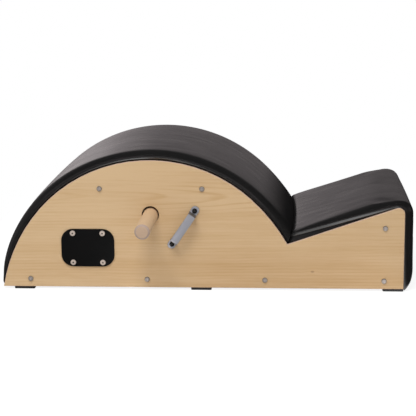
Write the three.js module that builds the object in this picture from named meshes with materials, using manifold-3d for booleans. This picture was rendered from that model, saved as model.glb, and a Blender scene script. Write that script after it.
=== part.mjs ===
// Pilates spine corrector: a padded barrel that falls into a low padded step, on two plywood side
// panels tied together by wooden rails, with a loose grip pole through both panels.
// Millimetres, +Z up. While it is put together x = 0 is the barrel's crest line, y = 0 the middle of
// the width and z = 0 the panels' bottom edge. The finished group is moved at the end, so that its
// origin is the centre of its base.

import * as THREE from "three";
import { mergeVertices } from "three/addons/utils/BufferGeometryUtils.js";
import Module from "manifold-3d";

// Clearances
const seatGap = 0.3; // between pieces that bear on each other
const overrun = 5; // how far a cutting tool runs past the face it cuts

// Side panels: three tangent arcs make the barrel, a straight line the step
const widthOverPanels = 450;
const panelThickness = 18;
const panelEdgeBevel = 1.2;
const crestHeight = 303;
const crestRadius = 349;
const leftFlankRadius = 384;
const rightFlankRadius = 428;
const leftBlendAngle = THREE.MathUtils.degToRad(138);
const rightBlendAngle = THREE.MathUtils.degToRad(47.6);
const stepEnd = 590; // crest line to the panels' step end
const stepEndHeight = 199; // where the step line would meet the end, before the corner is rounded
const stepRise = THREE.MathUtils.degToRad(19);
const stepCornerRadius = 14;

// How finely the outline is divided
const leftSteps = 7;
const crestSteps = 18;
const rightSteps = 4;
const cornerSteps = 5;
const cornerArcSteps = 6; // each rounded corner of a plate, foot or handle end

// Pads: a leather cover over foam, on a thin board that lies on the panels' edges
const padOverhang = 1.5; // each side, past the panels' outer faces
const padThickness = 22.5; // at the shoulders, from the panels' edge to the leather
const crownShare = 0.08; // extra height along the middle
const shoulderShare = 1.55; // depth of the rounded shoulder
const sideShare = 0.3; // height of the upright side
const curlShare = 0.17; // radius of the tucked-in lower edge
const cornerStretchShare = 0.1; // how much the pad thins over the step's end corner
const noseShare = 0.5; // how thin a pad's own end is rolled
const coverThickness = 1.2;
const coverHem = 22; // how far the cover is turned in under the board
const deckThickness = 3.5;
const deckInset = 8; // each side, from the panels' outer faces
const barrelPadStart = 8; // height of the barrel pad's lower end
const endWall = 3; // leather and staples across a pad's lower end
const foamRampStart = 18; // height at which the barrel's foam begins to swell
const foamRampLength = 50;
const foamStart = 26;
const stepPadDrop = 2; // the step pad's end hangs this far below the panels' bottom edge
const stepPadRound = 30; // length of the rounding at that end
const stepBoardStart = 3;
const sideMidShare = 0.5;
const shoulderSteps = 4;
const crownSteps = 3;
const lowerEndShares = [0, 0.06, 0.2, 0.45, 1]; // of that rounding's length

// Rails between the panels, held by one screw through each panel
const railSize = 38;
const baseRailHeight = 19.5;
const baseRailFirst = -286;
const baseRailPitch = 276.7;
const baseRailCount = 4;
const crestRailHeight = 236.3;
const crestRailLeft = -117.5;
const crestRailRight = 121.5;
const stepRailInset = 44.8; // from the panels' step end
const stepRailDrop = 38.7; // below the step line
const railEdgeBevel = 2;

// Panel screws: low domed heads on the panels' faces
const panelScrewHead = { radius: 6, height: 2.6 };
const panelScrewShank = { radius: 3, length: 52 };
const screwTip = 4;
const headRimShare = 0.35; // of a head's height, below its dome
const domeSteps = 2;

// Grip pole: a loose round bar that lies in an oversize hole in each panel
const poleRadius = 17.5;
const poleLength = 800;
const poleHoleRadius = 20.3;
const poleHoleHeight = 175;
const poleHoleX = 0.8;
const poleEndChamfer = 4.5;
const poleSides = 32;

// Name plate: a bare plate with rounded corners and a large-headed screw near each
const plateLength = 125;
const plateHeight = 90;
const plateThickness = 2.5;
const plateCornerRadius = 28;
const plateX = -147.8;
const plateZ = 95.2;
const plateScrewSpacing = 70;
const plateScrewHead = { radius: 6.6, height: 2.2 };
const plateScrewShank = { radius: 2, length: 14 };
const plateEdgeBevel = 0.6;

// Strip handles: flat bar bent into a bridge, one on each panel
const handleScrewSpacing = 96;
const handleTilt = THREE.MathUtils.degToRad(55.8);
const handleX = 77.6;
const handleZ = 145.4;
const handleWidth = 17.5;
const handleThickness = 2.8;
const handleStandOff = 25; // panel to the grip's outer face
const handleFootReach = 11; // screw to the foot's end
const handleLegInset = 11; // screw to the middle of the leg
const handleLegLean = 3; // how far the leg leans inwards as it rises
const handleBendRadius = 4; // to the bar's mid line
const bendSteps = 4;
const handleScrewHead = { radius: 6, height: 3 };
const handleScrewShank = { radius: 2, length: 15 };

// Rubber feet under the panels' bottom edges
const footLength = 48;
const footHeight = 5.2;
const footCornerRadius = 3;
const footXs = [-301.5, 118, 565.5];

const fastenerSides = 10; // of screws and their holes

// Finishes
const finish = (color, roughness, metalness = 0) =>
  new THREE.MeshStandardMaterial({ color, roughness, metalness });
const plywood = finish(0xccac82, 0.5);
const railWood = finish(0xc9a97c, 0.7);
const poleWood = finish(0xcfae86, 0.45);
const deckWood = finish(0xb89768, 0.75);
const leather = finish(0x2b292a, 0.38);
const foam = finish(0xd8d2c0, 0.95);
const rubber = finish(0x1c1b1c, 0.8);
const blackPlate = finish(0x1a1a1a, 0.45);
const zinc = finish(0xa9a6a4, 0.35, 1);
const nickel = finish(0xcfc3bd, 0.3, 1);
const blackZinc = finish(0x2a2a2c, 0.35, 1);
const satinSteel = finish(0x9698a0, 0.4, 1);

// Joining and cutting

const wasm = await Module();
wasm.setup();

function solidOf(geometry) {
  const bare = geometry.clone();
  bare.deleteAttribute("normal");
  bare.deleteAttribute("uv");
  const welded = mergeVertices(bare);
  const mesh = new wasm.Mesh({
    numProp: 3,
    vertProperties: Float32Array.from(welded.attributes.position.array),
    triVerts: Uint32Array.from(welded.index.array),
  });
  return new wasm.Manifold(mesh);
}

function geometryOf(solid) {
  const mesh = solid.getMesh();
  const geometry = new THREE.BufferGeometry();
  geometry.setAttribute("position", new THREE.BufferAttribute(mesh.vertProperties, 3));
  geometry.setIndex(new THREE.BufferAttribute(mesh.triVerts, 1));
  return geometry;
}

function cutBy(geometry, tools) {
  const result = tools.reduce((solid, tool) => solid.subtract(solidOf(tool)), solidOf(geometry));
  return geometryOf(result);
}

// The outline that panels and pads share, in x and z

const direction = (angle) => new THREE.Vector2(Math.cos(angle), Math.sin(angle));
const lerp = THREE.MathUtils.lerp;
const polar = (centre, radius, angle) => centre.clone().addScaledVector(direction(angle), radius);
const crestCentre = new THREE.Vector2(0, crestHeight - crestRadius);
const leftCentre = polar(crestCentre, crestRadius - leftFlankRadius, leftBlendAngle);
const rightCentre = polar(crestCentre, crestRadius - rightFlankRadius, rightBlendAngle);
const leftAngleAt = (height) => Math.PI - Math.asin((height - leftCentre.y) / leftFlankRadius);
const stepDirection = direction(stepRise);
const stepNormal = direction(stepRise + Math.PI / 2);
const stepOffset = new THREE.Vector2(stepEnd, stepEndHeight).dot(stepNormal);
const stepLineHeight = (x) => stepEndHeight + (x - stepEnd) * Math.tan(stepRise);
const cornerCentre = new THREE.Vector2(
  stepEnd - stepCornerRadius,
  stepLineHeight(stepEnd - stepCornerRadius) - stepCornerRadius / Math.cos(stepRise),
);

// Where the right flank, lifted off the panels' edge, meets the step line, lifted too
function valleyPoint(flankLift, stepLift) {
  const radius = rightFlankRadius + flankLift;
  const distance = stepOffset + stepLift - rightCentre.dot(stepNormal);
  const along = Math.sqrt(radius * radius - distance * distance);
  return rightCentre.clone().addScaledVector(stepNormal, distance).addScaledVector(stepDirection, along);
}

const valley = valleyPoint(0, 0);
const valleyFlankAngle = valley.clone().sub(rightCentre).angle();
const valleyTurn = stepRise + Math.PI / 2 - valleyFlankAngle;
const mitreTrim = (distance) => 2 * distance * Math.sin(valleyTurn / 2);

// A station is a cut across the outline: it says where a point lifted off the edge lies
const arcStation = (centre, radius, angle, total) => ({
  place: (lift) => polar(centre, radius + lift, angle),
  total,
});

// Layers of a pad, from the panels' edge outwards
const hemTop = seatGap + coverThickness;
const deckBottom = hemTop + seatGap;
const deckTop = deckBottom + deckThickness;
const foamBottom = deckTop + seatGap;
const boardTotal = foamBottom + seatGap + coverThickness;

// Height of a pad's shoulder over the barrel's left flank: a bare board at its end, foam above it
function barrelTotal(height) {
  const swell = 1 - Math.exp(-Math.max(0, height - foamRampStart) / foamRampLength);
  return lerp(boardTotal, padThickness, swell);
}

// Every layer has its stations at these heights over the left flank, so that layers stay parallel
const flankHeights = [barrelPadStart, barrelPadStart + endWall, foamStart];
for (let i = 0; i < leftSteps; i += 1) {
  const angle = lerp(leftAngleAt(0), leftBlendAngle, i / leftSteps);
  flankHeights.push(leftCentre.y + leftFlankRadius * Math.sin(angle));
}
flankHeights.sort((a, b) => a - b);

function barrelStations(startHeight, valleyTrim, nose = false) {
  const heights = [startHeight, ...flankHeights.filter((height) => height > startHeight)];
  const stations = heights.map((height, i) => {
    const total = barrelTotal(height) * (nose && i === 0 ? noseShare : 1);
    return arcStation(leftCentre, leftFlankRadius, leftAngleAt(height), total);
  });
  for (let i = 0; i <= crestSteps; i += 1) {
    const angle = lerp(leftBlendAngle, rightBlendAngle, i / crestSteps);
    const height = crestCentre.y + crestRadius * Math.sin(angle);
    const total = angle > Math.PI / 2 ? barrelTotal(height) : padThickness;
    stations.push(arcStation(crestCentre, crestRadius, angle, total));
  }
  for (let i = 1; i <= rightSteps; i += 1) {
    stations.push({
      place: (lift) => {
        const end = valleyPoint(lift, lift + valleyTrim).sub(rightCentre).angle();
        const angle = lerp(rightBlendAngle, end, i / rightSteps);
        return polar(rightCentre, rightFlankRadius + lift, angle);
      },
      total: padThickness,
    });
  }
  return stations;
}

function slopeStations(valleyTrim) {
  const start = { place: (lift) => valleyPoint(lift + valleyTrim, lift), total: padThickness };
  const end = arcStation(cornerCentre, stepCornerRadius, stepRise + Math.PI / 2, padThickness);
  const middle = {
    place: (lift) => start.place(lift).lerp(end.place(lift), sideMidShare),
    total: padThickness,
  };
  return [start, middle, end];
}

function cornerStations() {
  const stations = [];
  for (let i = 1; i < cornerSteps; i += 1) {
    const angle = lerp(stepRise + Math.PI / 2, 0, i / cornerSteps);
    const total = padThickness * (1 - cornerStretchShare * Math.sin((Math.PI * i) / cornerSteps));
    stations.push(arcStation(cornerCentre, stepCornerRadius, angle, total));
  }
  return stations;
}

function lowerEndTotal(height) {
  const share = THREE.MathUtils.clamp((height + stepPadDrop) / stepPadRound, 0, 1);
  return Math.max(padThickness * Math.sqrt(1 - (1 - share) ** 2), boardTotal * noseShare);
}

const roundHeights = lowerEndShares.map((share) => share * stepPadRound - stepPadDrop);
const endHeights = [stepBoardStart, ...roundHeights].sort((a, b) => b - a);

function endStations(lowest) {
  const heights = [...endHeights.filter((height) => height > lowest), lowest];
  const stations = heights.map((height) => ({
    place: (lift) => new THREE.Vector2(stepEnd + lift, height),
    total: lowerEndTotal(height),
  }));
  return [arcStation(cornerCentre, stepCornerRadius, 0, padThickness), ...stations];
}

const stepStations = (valleyTrim, lowest) => [
  ...slopeStations(valleyTrim),
  ...cornerStations(),
  ...endStations(lowest),
];

// Sections across a pad, in y and lift

const mirrored = (half) => [
  ...half,
  ...half
    .filter((point) => point.x > 0)
    .reverse()
    .map((point) => new THREE.Vector2(-point.x, point.y)),
];

// Tucked-in lower edge, upright side, rounded shoulder and crown, drawn in by an inset
function padSection(inset) {
  return ({ total }) => {
    const halfWidth = widthOverPanels / 2 + padOverhang - inset;
    const bottom = seatGap + inset;
    const top = total - inset;
    const curl = curlShare * (top - bottom);
    const sideTop = lerp(bottom, top, sideShare);
    const shoulder = shoulderShare * (top - bottom);
    const half = [
      new THREE.Vector2(halfWidth - curl, bottom),
      new THREE.Vector2(halfWidth - curl * (1 - Math.SQRT1_2), bottom + curl * (1 - Math.SQRT1_2)),
      new THREE.Vector2(halfWidth, bottom + curl),
    ];
    for (let i = 0; i <= shoulderSteps; i += 1) {
      const angle = ((Math.PI / 2) * i) / shoulderSteps;
      half.push(
        new THREE.Vector2(
          halfWidth - shoulder * (1 - Math.cos(angle)),
          sideTop + (top - sideTop) * Math.sin(angle),
        ),
      );
    }
    for (let i = 1; i <= crownSteps; i += 1) {
      const share = i / crownSteps;
      const rise = crownShare * total * (1 - (1 - share) ** 2);
      half.push(new THREE.Vector2((halfWidth - shoulder) * (1 - share), top + rise));
    }
    return mirrored(half);
  };
}

const slabSection = (halfWidth, bottom, top) => () =>
  mirrored([new THREE.Vector2(halfWidth, bottom), new THREE.Vector2(halfWidth, top)]);

// Sweeps a section along the stations and closes both ends
function sweep(stations, section) {
  const sections = stations.map(section);
  const count = sections[0].length;
  const positions = [];
  stations.forEach((station, row) => {
    for (const point of sections[row]) {
      const place = station.place(point.y);
      positions.push(place.x, point.x, place.y);
    }
  });
  const indices = [];
  for (let row = 0; row + 1 < stations.length; row += 1) {
    for (let i = 0; i < count; i += 1) {
      const a = row * count + i;
      const b = row * count + ((i + 1) % count);
      indices.push(a, b, b + count, a, b + count, a + count);
    }
  }
  const last = (stations.length - 1) * count;
  for (const [a, b, c] of THREE.ShapeUtils.triangulateShape(sections[0], [])) indices.push(c, b, a);
  for (const [a, b, c] of THREE.ShapeUtils.triangulateShape(sections.at(-1), [])) {
    indices.push(last + a, last + b, last + c);
  }
  const geometry = new THREE.BufferGeometry();
  geometry.setAttribute("position", new THREE.Float32BufferAttribute(positions, 3));
  geometry.setIndex(indices);
  return geometry;
}

const deckHalfWidth = widthOverPanels / 2 - deckInset;
const hemHalfWidth = widthOverPanels / 2 - coverHem;

const coverOf = (outer, inner, window) =>
  cutBy(sweep(outer, padSection(0)), [
    sweep(inner, padSection(coverThickness)),
    sweep(window, slabSection(hemHalfWidth, -overrun, hemTop + seatGap)),
  ]);
const foamOf = (stations, pastEnds) =>
  cutBy(sweep(stations, padSection(coverThickness + seatGap)), [
    sweep(pastEnds, slabSection(deckHalfWidth + seatGap, -overrun, foamBottom)),
  ]);
const deckOf = (stations) => sweep(stations, slabSection(deckHalfWidth, deckBottom, deckTop));

// How far the pads' layers stop short of the plane between the two pads
const coverFace = seatGap / 2;
const coverBack = coverFace + coverThickness;
const outerTrim = mitreTrim(coverFace);
const innerTrim = mitreTrim(coverBack);
const fillTrim = mitreTrim(coverBack + seatGap);
const hemTrim = mitreTrim(coverHem);

const barrelCover = coverOf(
  barrelStations(barrelPadStart, outerTrim, true),
  barrelStations(barrelPadStart + endWall, innerTrim),
  barrelStations(barrelPadStart + coverHem, hemTrim),
);
const barrelFoam = foamOf(barrelStations(foamStart, fillTrim), barrelStations(foamStart - overrun, -overrun));
const barrelDeck = deckOf(barrelStations(barrelPadStart + endWall + seatGap, fillTrim));

const stepCover = coverOf(
  stepStations(outerTrim, -stepPadDrop),
  stepStations(innerTrim, -stepPadDrop + coverThickness),
  stepStations(hemTrim, coverHem),
);
const stepFoam = foamOf(
  stepStations(fillTrim, stepBoardStart),
  stepStations(-overrun, stepBoardStart - overrun),
);
const stepDeck = deckOf(slopeStations(fillTrim));
const endDeck = deckOf(endStations(stepBoardStart));

// Pieces made lying on a panel's outer face: x to the right, y up, z out of the face

const drill = (radius, x, y, bottom, top, sides = fastenerSides) =>
  new THREE.CylinderGeometry(radius, radius, top - bottom, sides)
    .rotateX(Math.PI / 2)
    .translate(x, y, (top + bottom) / 2);

// Head, shank and pointed end, seated so that the head's underside is at z = 0
function screw(head, shank) {
  const profile = [
    new THREE.Vector2(0, -shank.length),
    new THREE.Vector2(shank.radius, screwTip - shank.length),
    new THREE.Vector2(shank.radius, 0),
    new THREE.Vector2(head.radius, 0),
  ];
  const rim = headRimShare * head.height;
  for (let i = 0; i <= domeSteps; i += 1) {
    const angle = ((Math.PI / 2) * i) / domeSteps;
    const rise = (head.height - rim) * Math.sin(angle);
    profile.push(new THREE.Vector2(i < domeSteps ? head.radius * Math.cos(angle) : 0, rim + rise));
  }
  return new THREE.LatheGeometry(profile, fastenerSides).rotateX(Math.PI / 2).translate(0, 0, seatGap);
}

function panelOutline(mirror) {
  const points = [];
  for (let i = 0; i <= leftSteps; i += 1) {
    const angle = lerp(leftAngleAt(0), leftBlendAngle, i / leftSteps);
    points.push(polar(leftCentre, leftFlankRadius, angle));
  }
  for (let i = 1; i <= crestSteps; i += 1) {
    const angle = lerp(leftBlendAngle, rightBlendAngle, i / crestSteps);
    points.push(polar(crestCentre, crestRadius, angle));
  }
  for (let i = 1; i <= rightSteps; i += 1) {
    const angle = lerp(rightBlendAngle, valleyFlankAngle, i / rightSteps);
    points.push(polar(rightCentre, rightFlankRadius, angle));
  }
  for (let i = 0; i <= cornerSteps; i += 1) {
    const angle = lerp(stepRise + Math.PI / 2, 0, i / cornerSteps);
    points.push(polar(cornerCentre, stepCornerRadius, angle));
  }
  points.push(new THREE.Vector2(stepEnd, 0));
  return new THREE.Shape(points.map((point) => new THREE.Vector2(point.x * mirror, point.y)));
}

// Where each rail's screw goes through the panels, and how far the rail is turned
const railPlaces = [];
for (let i = 0; i < baseRailCount; i += 1) {
  const x = baseRailFirst + i * baseRailPitch;
  railPlaces.push({ name: `base_rail_${i + 1}`, x, z: baseRailHeight, tilt: 0 });
}
for (const [name, x] of [["crest_rail_left", crestRailLeft], ["crest_rail_right", crestRailRight]]) {
  const tilt = Math.atan2(crestRailHeight - crestCentre.y, x) - Math.PI / 2;
  railPlaces.push({ name, x, z: crestRailHeight, tilt });
}
const stepRailX = stepEnd - stepRailInset;
const stepRailZ = stepLineHeight(stepRailX) - stepRailDrop;
railPlaces.push({ name: "step_rail", x: stepRailX, z: stepRailZ, tilt: stepRise });

const plateScrewPlaces = [];
for (const [row, up] of [["top", 1], ["bottom", -1]]) {
  for (const [column, right] of [["left", -1], ["right", 1]]) {
    plateScrewPlaces.push({
      name: `${row}_${column}`,
      x: (right * plateScrewSpacing) / 2,
      y: (up * plateScrewSpacing) / 2,
    });
  }
}
const handleScrewPlaces = [["upper", 1], ["lower", -1]].map(([name, up]) => ({
  name,
  x: handleX + (up * handleScrewSpacing * Math.cos(handleTilt)) / 2,
  y: handleZ + (up * handleScrewSpacing * Math.sin(handleTilt)) / 2,
}));

function panel(mirror, hasPlate) {
  const board = new THREE.ExtrudeGeometry(panelOutline(mirror), {
    depth: panelThickness - 2 * panelEdgeBevel,
    bevelThickness: panelEdgeBevel,
    bevelSize: panelEdgeBevel,
    bevelOffset: -panelEdgeBevel,
    bevelSegments: 1,
  }).translate(0, 0, panelEdgeBevel - panelThickness);
  const back = -panelThickness - overrun;
  const holes = [drill(poleHoleRadius, poleHoleX * mirror, poleHoleHeight, back, overrun, poleSides)];
  for (const { x, z } of railPlaces) {
    holes.push(drill(panelScrewShank.radius + seatGap, x * mirror, z, back, overrun));
  }
  for (const { x, y } of handleScrewPlaces) {
    const bottom = handleThickness - handleScrewShank.length;
    holes.push(drill(handleScrewShank.radius + seatGap, x * mirror, y, bottom, overrun));
  }
  if (hasPlate) {
    for (const { x, y } of plateScrewPlaces) {
      const bottom = plateThickness - plateScrewShank.length;
      holes.push(drill(plateScrewShank.radius + seatGap, plateX + x, plateZ + y, bottom, overrun));
    }
  }
  return cutBy(board, holes);
}

function roundedRectangle(length, height, radius) {
  const shape = new THREE.Shape();
  const x = length / 2 - radius;
  const y = height / 2 - radius;
  shape.absarc(x, y, radius, 0, Math.PI / 2);
  shape.absarc(-x, y, radius, Math.PI / 2, Math.PI);
  shape.absarc(-x, -y, radius, Math.PI, 3 * (Math.PI / 2));
  shape.absarc(x, -y, radius, 3 * (Math.PI / 2), 2 * Math.PI);
  return shape;
}

function namePlate() {
  const shape = roundedRectangle(plateLength, plateHeight, plateCornerRadius);
  const plate = new THREE.ExtrudeGeometry(shape, {
    depth: plateThickness - 2 * plateEdgeBevel,
    bevelThickness: plateEdgeBevel,
    bevelSize: plateEdgeBevel,
    bevelOffset: -plateEdgeBevel,
    bevelSegments: 1,
    curveSegments: cornerArcSteps,
  }).translate(0, 0, plateEdgeBevel + seatGap);
  const radius = plateScrewShank.radius + seatGap;
  const holes = plateScrewPlaces.map(({ x, y }) =>
    drill(radius, x, y, -overrun, plateThickness + overrun),
  );
  return cutBy(plate, holes);
}

// The bar's mid line from foot to foot, with its bends as arcs, in length and stand-off
function handleMidLine() {
  const footLevel = handleThickness / 2;
  const gripLevel = handleStandOff - seatGap - handleThickness / 2;
  const end = handleScrewSpacing / 2 + handleFootReach;
  const legFoot = handleScrewSpacing / 2 - handleLegInset + handleLegLean / 2;
  const legTop = legFoot - handleLegLean;
  const corners = [
    new THREE.Vector2(-end, footLevel),
    new THREE.Vector2(-legFoot, footLevel),
    new THREE.Vector2(-legTop, gripLevel),
    new THREE.Vector2(legTop, gripLevel),
    new THREE.Vector2(legFoot, footLevel),
    new THREE.Vector2(end, footLevel),
  ];
  const line = [corners[0]];
  for (let i = 1; i + 1 < corners.length; i += 1) {
    const into = corners[i].clone().sub(corners[i - 1]).normalize();
    const out = corners[i + 1].clone().sub(corners[i]).normalize();
    const turn = Math.atan2(into.cross(out), into.dot(out));
    const setback = handleBendRadius * Math.tan(Math.abs(turn) / 2);
    const start = corners[i].clone().addScaledVector(into, -setback);
    const toCentre = new THREE.Vector2(-into.y, into.x).multiplyScalar(Math.sign(turn) * handleBendRadius);
    const centre = start.clone().add(toCentre);
    for (let step = 0; step <= bendSteps; step += 1) {
      const spoke = toCentre.clone().negate().rotateAround(new THREE.Vector2(), (turn * step) / bendSteps);
      line.push(centre.clone().add(spoke));
    }
  }
  line.push(corners.at(-1));
  return line;
}

function stripHandle() {
  const line = handleMidLine();
  const sides = [[], []];
  line.forEach((point, i) => {
    const before = line[Math.max(i - 1, 0)];
    const after = line[Math.min(i + 1, line.length - 1)];
    const along = after.clone().sub(before).normalize();
    const across = new THREE.Vector2(-along.y, along.x).multiplyScalar(handleThickness / 2);
    sides[0].push(point.clone().sub(across));
    sides[1].unshift(point.clone().add(across));
  });
  const strip = new THREE.ExtrudeGeometry(new THREE.Shape(sides.flat()), {
    depth: handleWidth,
    bevelEnabled: false,
  })
    .translate(0, 0, -handleWidth / 2)
    .rotateX(Math.PI / 2);
  const length = handleScrewSpacing + 2 * handleFootReach;
  const plan = new THREE.ExtrudeGeometry(roundedRectangle(length, handleWidth, handleWidth / 2), {
    depth: handleStandOff + 2 * overrun,
    bevelEnabled: false,
    curveSegments: cornerArcSteps,
  }).translate(0, 0, -overrun);
  const rounded = geometryOf(solidOf(strip).intersect(solidOf(plan)));
  const radius = handleScrewShank.radius + seatGap;
  const holes = [1, -1].map((end) =>
    drill(radius, (end * handleScrewSpacing) / 2, 0, -overrun, handleThickness + overrun),
  );
  return cutBy(rounded, holes).translate(0, 0, seatGap);
}

// A square bar with eased long edges, lying along y, with a pilot hole in each end
function rail() {
  const length = widthOverPanels - 2 * panelThickness - 2 * seatGap;
  const half = railSize / 2;
  const flat = half - railEdgeBevel;
  const corners = [];
  for (const [x, y] of [[1, 1], [-1, 1], [-1, -1], [1, -1]]) {
    const pair = [new THREE.Vector2(x * half, y * flat), new THREE.Vector2(x * flat, y * half)];
    corners.push(...(x * y > 0 ? pair : pair.reverse()));
  }
  const bar = new THREE.ExtrudeGeometry(new THREE.Shape(corners), { depth: length, bevelEnabled: false });
  bar.translate(0, 0, -length / 2);
  const depth = panelScrewShank.length - panelThickness;
  const radius = panelScrewShank.radius + seatGap;
  const pilots = [0, Math.PI].map((turn) =>
    drill(radius, 0, 0, -depth, overrun).translate(0, 0, length / 2).rotateX(turn),
  );
  return cutBy(bar, pilots).rotateX(Math.PI / 2);
}

function gripPole() {
  const half = poleLength / 2;
  const profile = [
    new THREE.Vector2(0, -half),
    new THREE.Vector2(poleRadius - poleEndChamfer, -half),
    new THREE.Vector2(poleRadius, poleEndChamfer - half),
    new THREE.Vector2(poleRadius, half - poleEndChamfer),
    new THREE.Vector2(poleRadius - poleEndChamfer, half),
    new THREE.Vector2(0, half),
  ];
  return new THREE.LatheGeometry(profile, poleSides);
}

function foot() {
  const shape = roundedRectangle(footLength, panelThickness, footCornerRadius);
  return new THREE.ExtrudeGeometry(shape, {
    depth: footHeight,
    bevelEnabled: false,
    curveSegments: cornerArcSteps,
  }).translate(0, 0, -footHeight - seatGap);
}

// Putting it together

const corrector = new THREE.Group();

function add(parent, name, geometry, material, x = 0, y = 0, z = 0) {
  const mesh = new THREE.Mesh(geometry, material);
  mesh.name = name;
  mesh.position.set(x, y, z);
  parent.add(mesh);
  return mesh;
}

for (const { name, x, z, tilt } of railPlaces) {
  add(corrector, name, rail(), railWood, x, 0, z).rotation.y = -tilt;
}
add(corrector, "barrel_deck", barrelDeck, deckWood);
add(corrector, "barrel_foam", barrelFoam, foam);
add(corrector, "barrel_cover", barrelCover, leather);
add(corrector, "step_deck", stepDeck, deckWood);
add(corrector, "end_deck", endDeck, deckWood);
add(corrector, "step_foam", stepFoam, foam);
add(corrector, "step_cover", stepCover, leather);

// Each side is put together on its panel's outer face. The back one is turned half round, so what
// lies at x on the front lies at -x on it.
for (const { side, mirror, turn, hasPlate } of [
  { side: "front", mirror: 1, turn: 0, hasPlate: true },
  { side: "back", mirror: -1, turn: Math.PI, hasPlate: false },
]) {
  const turned = new THREE.Group();
  turned.rotation.z = turn;
  const face = new THREE.Group();
  face.rotation.x = Math.PI / 2;
  face.position.y = -widthOverPanels / 2;
  turned.add(face);
  corrector.add(turned);

  add(face, `side_panel_${side}`, panel(mirror, hasPlate), plywood);
  railPlaces.forEach(({ x, z }, i) => {
    add(face, `panel_screw_${side}_${i + 1}`, screw(panelScrewHead, panelScrewShank), zinc, x * mirror, z);
  });
  add(face, `strip_handle_${side}`, stripHandle(), satinSteel, handleX * mirror, handleZ).rotation.z =
    handleTilt * mirror;
  for (const { name, x, y } of handleScrewPlaces) {
    const bolt = screw(handleScrewHead, handleScrewShank);
    add(face, `handle_screw_${side}_${name}`, bolt, blackZinc, x * mirror, y, seatGap + handleThickness);
  }
  footXs.forEach((x, i) => {
    const pad = foot();
    add(turned, `foot_${side}_${i + 1}`, pad, rubber, x * mirror, (panelThickness - widthOverPanels) / 2, 0);
  });
  if (hasPlate) {
    add(face, "name_plate", namePlate(), blackPlate, plateX, plateZ);
    for (const { name, x, y } of plateScrewPlaces) {
      const bolt = screw(plateScrewHead, plateScrewShank);
      add(face, `plate_screw_${name}`, bolt, nickel, plateX + x, plateZ + y, seatGap + plateThickness);
    }
  }
}

// The pole lies on the lower edge of its holes
const poleRest = poleHoleHeight - (poleHoleRadius - poleRadius - seatGap);
add(corrector, "grip_pole", gripPole(), poleWood, poleHoleX, 0, poleRest);

// Origin at the centre of the base
corrector.updateMatrixWorld(true);
const extent = new THREE.Box3().setFromObject(corrector, true);
corrector.position.set(-(extent.min.x + extent.max.x) / 2, 0, -extent.min.z);

export default corrector;
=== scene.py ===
from functools import partialmethod
from math import asin, atan2, copysign, cos, dist, exp, hypot, inf, pi, radians, sin, sqrt, tan

import bpy
import numpy as np
from mathutils import Matrix, Vector


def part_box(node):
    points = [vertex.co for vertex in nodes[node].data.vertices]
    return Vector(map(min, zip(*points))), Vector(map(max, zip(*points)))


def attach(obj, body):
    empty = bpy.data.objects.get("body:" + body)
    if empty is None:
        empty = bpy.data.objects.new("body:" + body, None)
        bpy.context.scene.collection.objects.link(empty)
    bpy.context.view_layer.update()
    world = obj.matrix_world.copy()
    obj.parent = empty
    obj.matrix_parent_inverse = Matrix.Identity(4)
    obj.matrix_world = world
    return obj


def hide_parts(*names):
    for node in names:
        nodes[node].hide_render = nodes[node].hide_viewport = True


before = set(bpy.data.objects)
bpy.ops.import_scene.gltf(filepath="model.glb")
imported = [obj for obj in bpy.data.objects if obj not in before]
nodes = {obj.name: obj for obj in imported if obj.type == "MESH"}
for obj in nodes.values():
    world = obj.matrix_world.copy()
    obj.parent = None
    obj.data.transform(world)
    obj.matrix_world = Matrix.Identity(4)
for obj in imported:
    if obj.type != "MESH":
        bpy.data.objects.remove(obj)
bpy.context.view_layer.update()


# Side panels
# Two boards of 18 mm plywood with a pale softwood face, sawn to one outline and lacquered. Their
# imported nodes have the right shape, with eased edges and bored holes, and only get a finish here.

panel_low, panel_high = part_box("side_panel_front")
face_light = (0.7, 0.494, 0.282, 1)
face_dark = (0.535, 0.312, 0.128, 1)
# Painted shade: darker face colours towards the right, where less light falls
face_light_painted_shade = (0.655, 0.452, 0.25, 1)
face_dark_painted_shade = (0.495, 0.28, 0.108, 1)
ply_light = (0.68, 0.5, 0.4, 1)
ply_dark = (0.33, 0.18, 0.09, 1)
knot_colour = (0.3, 0.165, 0.075, 1)
ply_thickness = 0.002
pith_depth = 0.036
pith_height = 0.224
pith_slope = 0.07
pith_squash = 1.45
face_ring = 0.0105
figure_place = (0.0, 0.222)
figure_size = (0.19, 0.045)
knot_place = (0.2494, 0.0463)
knot_radius = 0.0035
knot_reach = 0.018
knot_core_share = 0.3
knot_flatness = 0.6
knot_swell = 0.004
knot_darkness = 0.6
figure_fade = (0.4, 1.0)
figure_strength = 0.8
sway_grains = (2.2, 4, 6)
sway_depth = 0.024
flutter_grains = (9, 9, 40)
flutter_depth = 0.0035
strength_grains = (4, 5, 16)
strength_range = (0.35, 0.75)
ring_dark = 0.26
ring_dark_least = 0.05
fibre_grains = (30, 60, 900)
fibre_dark = 0.5
streak_grains = (4, 30, 130)
streak_dark = 0.7
band_grains = (1.6, 8, 26)
band_dark = 0.6
cloud_grains = (5, 5, 12)
cloud_dark = 0.4
dark_share = 0.22
paler_heights = (0.08, 0.24)
paler_share = 0.2
painted_shade_span = (-0.4, 0.45)
early_wood_share = 0.5
late_wood_share = 0.85
ply_grains = (40, 1400, 40)
ply_fray = 0.3
glue_line = (0.42, 0.58)
glue_dark = 0.55
grain_dark = 0.25
face_turn = (0.8, 0.95)


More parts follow.
